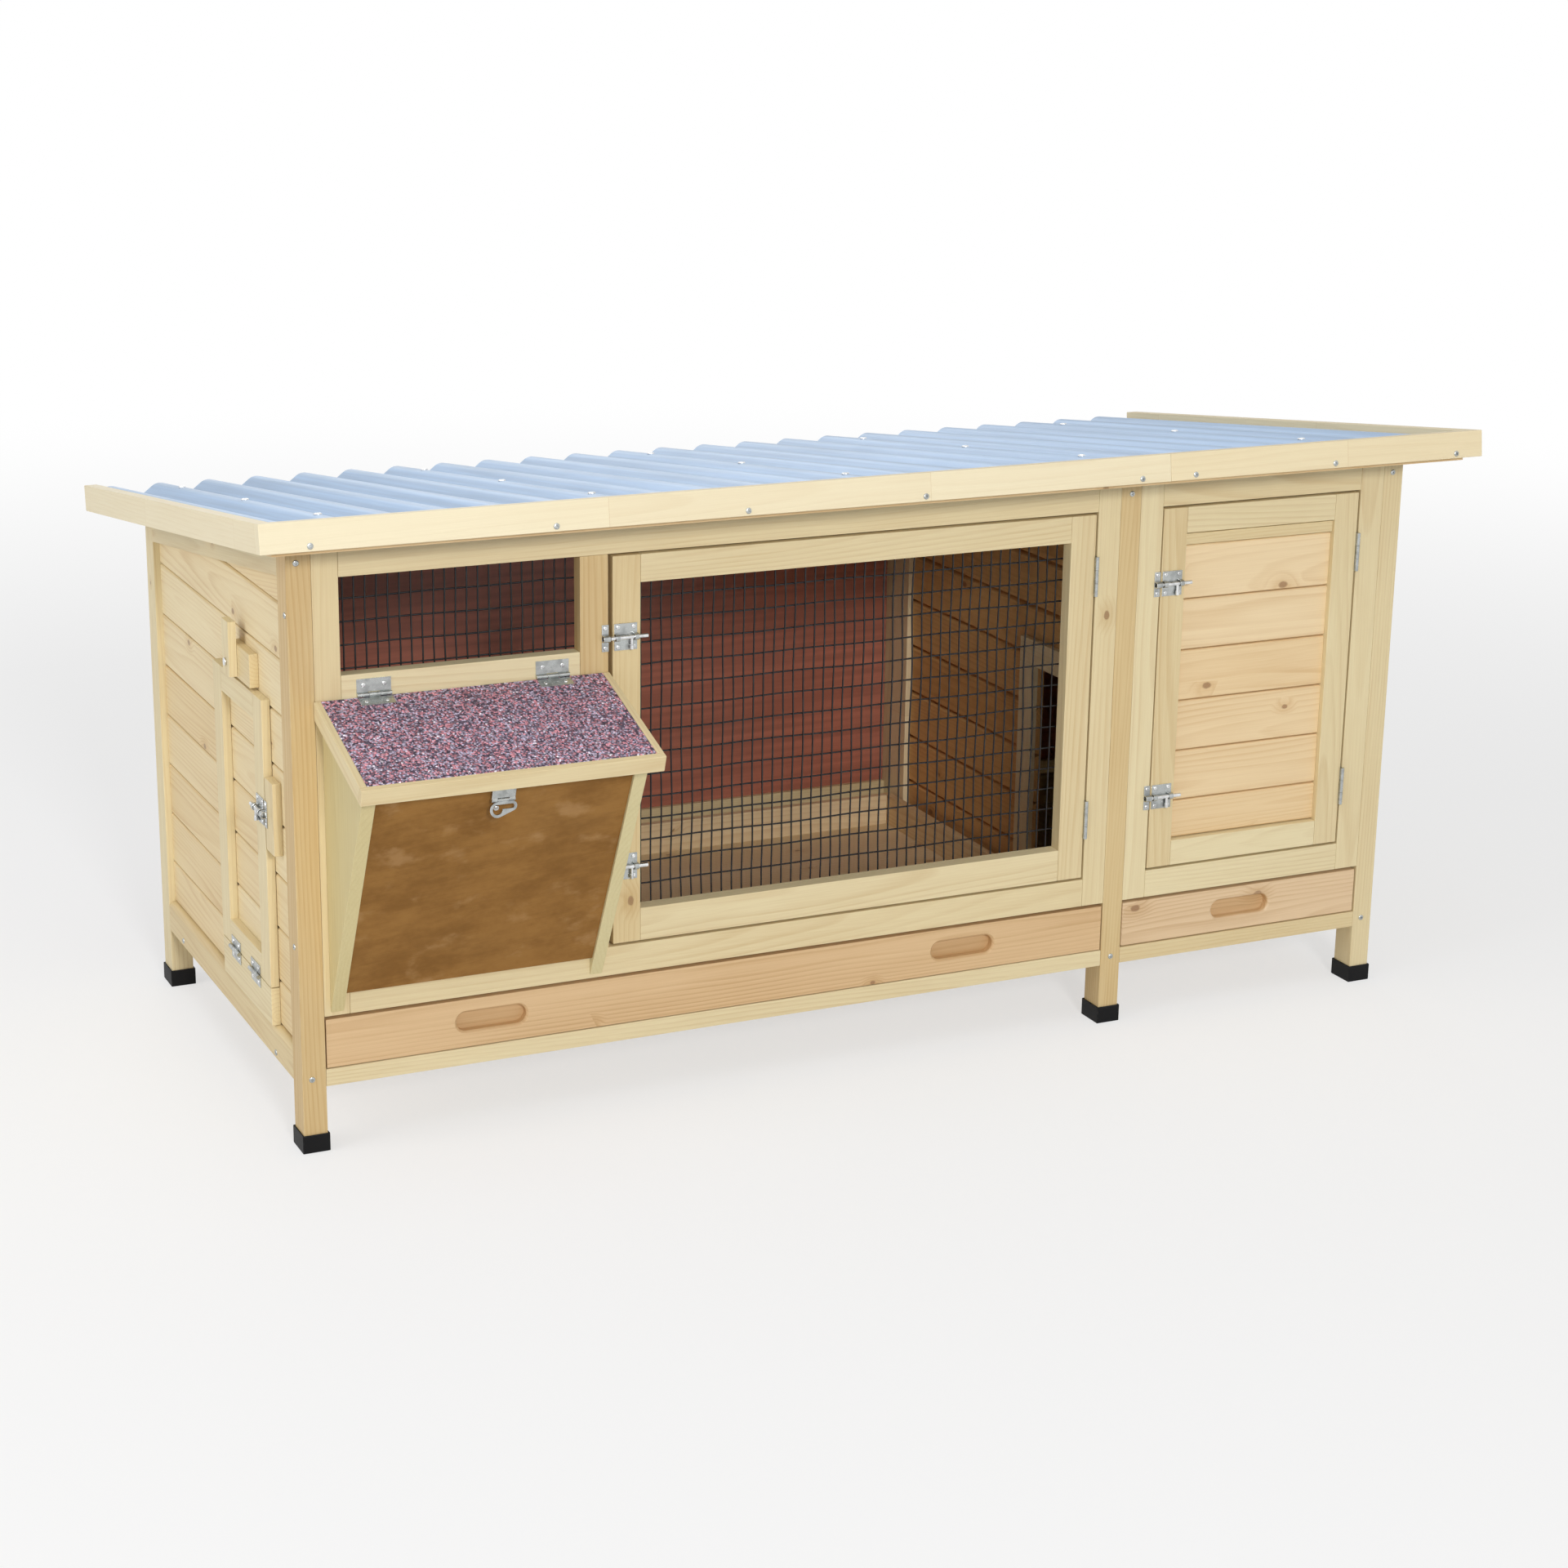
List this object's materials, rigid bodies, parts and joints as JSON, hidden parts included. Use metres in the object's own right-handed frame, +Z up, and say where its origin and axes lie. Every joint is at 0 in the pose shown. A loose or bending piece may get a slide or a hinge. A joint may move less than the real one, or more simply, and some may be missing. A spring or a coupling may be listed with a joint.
{
  "type": "rodent cage",
  "caption": "Wooden hutch with mesh door, nest bay, hay feeder, side ramp door, litter drawers and corrugated roof; houses a small pet outdoors.",
  "frame": {"origin": "middle of the footprint of the whole part, on the floor under the foot caps", "axes": "+X to the right along the front, +Y from the front to the back, +Z up"},
  "size_m": [1.5, 0.857, 0.7187],
  "materials": {
    "glazed_wood": "clear glazed softwood",
    "board_wood": "knotty pine boards",
    "drawer_wood": "pinkish pine",
    "fascia_wood": "pale planed softwood",
    "brown_plywood": "brown plywood",
    "back_panel": "film-faced plywood",
    "zinc_steel": "bright zinc",
    "black_wire": "black coated wire",
    "black_plastic": "moulded",
    "roof_sheet": "glossy sheet",
    "roof_felt": "mineral felt"
  },
  "bodies": {
    "carcass": {"front_posts": "glazed_wood", "back_posts": "glazed_wood", "foot_caps": "black_plastic", "base_rails": "glazed_wood", "drawer_runners": "board_wood", "front_stiles": "glazed_wood", "front_rails": "glazed_wood", "window_mesh": "black_wire", "left_wall_boards": "board_wood", "right_wall_boards": "board_wood", "top_rails": "glazed_wood", "back_panels": "back_panel", "doorway_battens": "board_wood", "partition_boards": "board_wood", "partition_frame": "board_wood", "front_fascia_left": "fascia_wood", "front_fascia_right": "fascia_wood", "side_fascias": "fascia_wood", "roof_purlins": "board_wood", "roof_sheet": "roof_sheet", "fixed_hinge_leaves": "zinc_steel", "bolt_keepers": "zinc_steel", "feeder_cheeks": "glazed_wood", "feeder_front_panel": "brown_plywood", "hay_rack_bars": "board_wood", "hasp_knob": "zinc_steel", "ramp_sill": "glazed_wood", "keeper_slat": "glazed_wood", "button_block": "glazed_wood", "button_screw": "zinc_steel"},
    "mesh_door": {"mesh_door_frame": "glazed_wood", "mesh_door_wire": "black_wire", "mesh_door_hinge_leaves": "zinc_steel", "mesh_door_bolt_plates": "zinc_steel"},
    "nest_door": {"nest_door_frame": "glazed_wood", "nest_door_boards": "board_wood", "nest_door_hinge_leaves": "zinc_steel", "nest_door_bolt_plates": "zinc_steel"},
    "ramp_door": {"ramp_frame": "glazed_wood", "ramp_boards": "board_wood", "ramp_hinge_leaves": "zinc_steel", "ramp_bolt_plate": "zinc_steel"},
    "feeder_lid": {"lid_trim": "glazed_wood", "lid_board": "brown_plywood", "lid_felt": "roof_felt", "lid_hinge_leaves": "zinc_steel", "hasp_plate": "zinc_steel"},
    "hasp": {"hasp_leaf": "zinc_steel"},
    "turn_button": {"turn_button": "glazed_wood"},
    "left_drawer": {"left_drawer_front": "drawer_wood", "left_drawer_tray": "board_wood"},
    "right_drawer": {"right_drawer_front": "drawer_wood", "right_drawer_tray": "board_wood"},
    "mesh_door_lower_bolt": {"mesh_door_lower_bolt": "zinc_steel"},
    "mesh_door_upper_bolt": {"mesh_door_upper_bolt": "zinc_steel"},
    "nest_door_lower_bolt": {"nest_door_lower_bolt": "zinc_steel"},
    "nest_door_upper_bolt": {"nest_door_upper_bolt": "zinc_steel"},
    "ramp_bolt": {"ramp_bolt": "zinc_steel"}
  },
  "joints": [
    {"name": "mesh_door_hinge", "type": "hinge", "parent": "carcass", "child": "mesh_door", "pos_m": [0.2708, -0.26969, 0.41375], "axis": [0, 0, 1], "range_deg": [0, 120]},
    {"name": "nest_door_hinge", "type": "hinge", "parent": "carcass", "child": "nest_door", "pos_m": [0.6388, -0.26969, 0.41375], "axis": [0, 0, 1], "range_deg": [0, 120]},
    {"name": "ramp_door_hinge", "type": "hinge", "parent": "carcass", "child": "ramp_door", "pos_m": [-0.7049, -0.06509, 0.1565], "axis": [0, -1, 0], "range_deg": [0, 117]},
    {"name": "feeder_lid_hinge", "type": "hinge", "parent": "carcass", "child": "feeder_lid", "pos_m": [-0.50825, -0.26969, 0.51037], "axis": [-1, 0, 0], "range_deg": [0, 80]},
    {"name": "hasp_hinge", "type": "hinge", "parent": "feeder_lid", "child": "hasp", "pos_m": [-0.51275, -0.39709, 0.41888], "axis": [-1, 0, 0], "range_deg": [-20, 70]},
    {"name": "turn_button_pivot", "type": "hinge", "parent": "carcass", "child": "turn_button", "pos_m": [-0.7073, -0.06109, 0.506], "axis": [1, 0, 0], "range_deg": [0, 180]},
    {"name": "left_drawer_slide", "type": "slide", "parent": "carcass", "child": "left_drawer", "axis": [0, -1, 0], "range_m": [0, 0.45]},
    {"name": "right_drawer_slide", "type": "slide", "parent": "carcass", "child": "right_drawer", "axis": [0, -1, 0], "range_m": [0, 0.45]},
    {"name": "mesh_door_lower_bolt_slide", "type": "slide", "parent": "mesh_door", "child": "mesh_door_lower_bolt", "axis": [-1, 0, 0], "range_m": [0, 0.009]},
    {"name": "mesh_door_upper_bolt_slide", "type": "slide", "parent": "mesh_door", "child": "mesh_door_upper_bolt", "axis": [-1, 0, 0], "range_m": [0, 0.009]},
    {"name": "nest_door_lower_bolt_slide", "type": "slide", "parent": "nest_door", "child": "nest_door_lower_bolt", "axis": [-1, 0, 0], "range_m": [0, 0.009]},
    {"name": "nest_door_upper_bolt_slide", "type": "slide", "parent": "nest_door", "child": "nest_door_upper_bolt", "axis": [-1, 0, 0], "range_m": [0, 0.009]},
    {"name": "ramp_bolt_slide", "type": "slide", "parent": "ramp_door", "child": "ramp_bolt", "axis": [0, -1, 0], "range_m": [0, 0.009]}
  ]
}
